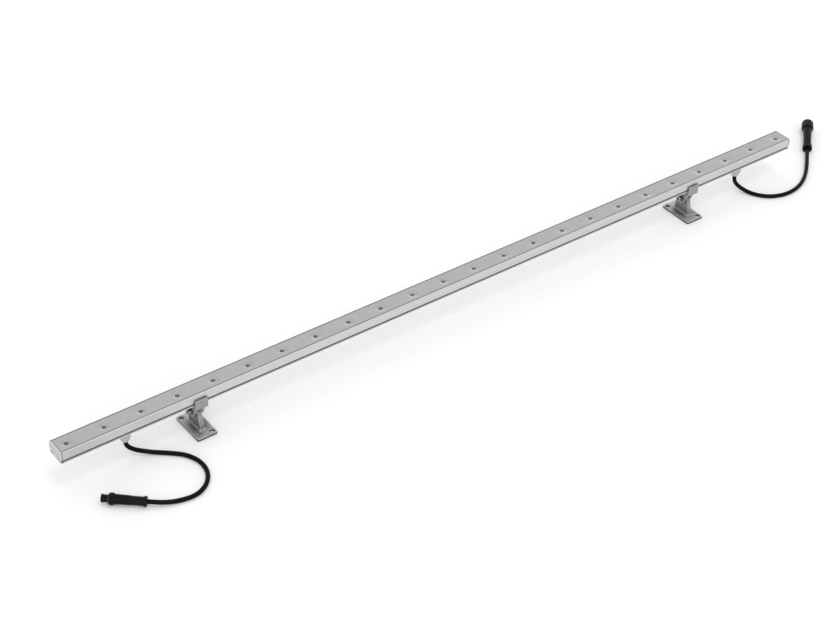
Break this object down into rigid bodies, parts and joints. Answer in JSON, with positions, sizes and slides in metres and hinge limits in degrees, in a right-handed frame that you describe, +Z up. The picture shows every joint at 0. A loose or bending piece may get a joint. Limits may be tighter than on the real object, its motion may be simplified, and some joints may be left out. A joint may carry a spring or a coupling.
{
  "type": "outdoor wall washer light",
  "caption": "Slim linear wall washer light with a row of lenses, two swivel foot brackets and a short lead with a round connector at each end.",
  "frame": {"origin": "on the mounting surface, midway between the two feet and under the middle of the bar", "axes": "+X along the bar towards the lead with the coupling nut, +Y towards the clamp screws at the back, +Z up from the mounting surface to the lenses"},
  "size_m": [1.1042, 0.1476, 0.053],
  "materials": {
    "bar_aluminium": "satin",
    "cover_grey": "matte",
    "cap_grey": "satin",
    "seal_rubber": "matte",
    "lens_clear": "gloss",
    "board_white": "matte",
    "led_yellow": "satin",
    "chip_black": "matte",
    "link_white": "matte",
    "gland_grey": "satin",
    "cord_black": "satin",
    "connector_black": "satin",
    "bracket_alloy": "satin",
    "steel": "satin",
    "contact_brass": "satin"
  },
  "bodies": {
    "light_bar": {"housing": "bar_aluminium", "lens_cover": "cover_grey", "cover_seal": "seal_rubber", "lenses": "lens_clear", "led_board_left": "board_white", "led_board_right": "board_white", "leds": "led_yellow", "driver_chips": "chip_black", "board_link": "link_white", "end_cap_left": "cap_grey", "end_cap_right": "cap_grey", "end_gasket_left": "seal_rubber", "end_gasket_right": "seal_rubber", "cap_screws_left": "steel", "cap_screws_right": "steel", "gland_left": "gland_grey", "gland_right": "gland_grey", "gland_nut_left": "gland_grey", "gland_nut_right": "gland_grey", "gland_seal_left": "seal_rubber", "gland_seal_right": "seal_rubber", "cord_tail_left": "cord_black", "cord_tail_right": "cord_black", "cord_left": "cord_black", "cord_right": "cord_black", "pin_grip": "connector_black", "pin_shell": "connector_black", "pin_collar": "connector_black", "nose_ring": "seal_rubber", "contact_pins": "contact_brass", "socket_grip": "connector_black", "socket_insert": "connector_black"},
    "left_saddle": {"left_clamp": "bracket_alloy", "left_clamp_jaw": "bracket_alloy", "left_clamp_screw": "steel", "left_hinge_bolt": "steel", "left_hinge_nut": "steel", "left_hinge_washers": "steel"},
    "left_base": {"left_foot": "bracket_alloy"},
    "right_saddle": {"right_clamp": "bracket_alloy", "right_clamp_jaw": "bracket_alloy", "right_clamp_screw": "steel", "right_hinge_bolt": "steel", "right_hinge_nut": "steel", "right_hinge_washers": "steel"},
    "right_base": {"right_foot": "bracket_alloy"},
    "union_nut": {"coupling_nut": "connector_black"}
  },
  "joints": [
    {"name": "left_clamp_slide", "type": "slide", "parent": "light_bar", "child": "left_saddle", "axis": [-1, 0, 0], "range_m": [-0.3, 0.025]},
    {"name": "left_foot_tilt", "type": "hinge", "parent": "left_saddle", "child": "left_base", "pos_m": [-0.34, 0, 0.024], "axis": [1, 0, 0], "range_deg": [-60, 60]},
    {"name": "right_clamp_slide", "type": "slide", "parent": "light_bar", "child": "right_saddle", "axis": [1, 0, 0], "range_m": [-0.3, 0.025]},
    {"name": "right_foot_tilt", "type": "hinge", "parent": "right_saddle", "child": "right_base", "pos_m": [0.34, 0, 0.024], "axis": [1, 0, 0], "range_deg": [-60, 60]},
    {"name": "coupling_nut_turn", "type": "hinge", "parent": "light_bar", "child": "union_nut", "pos_m": [0.59491, 0.04422, 0.00775], "axis": [0.7096, 0.7039, 0.0329], "continuous": true}
  ]
}
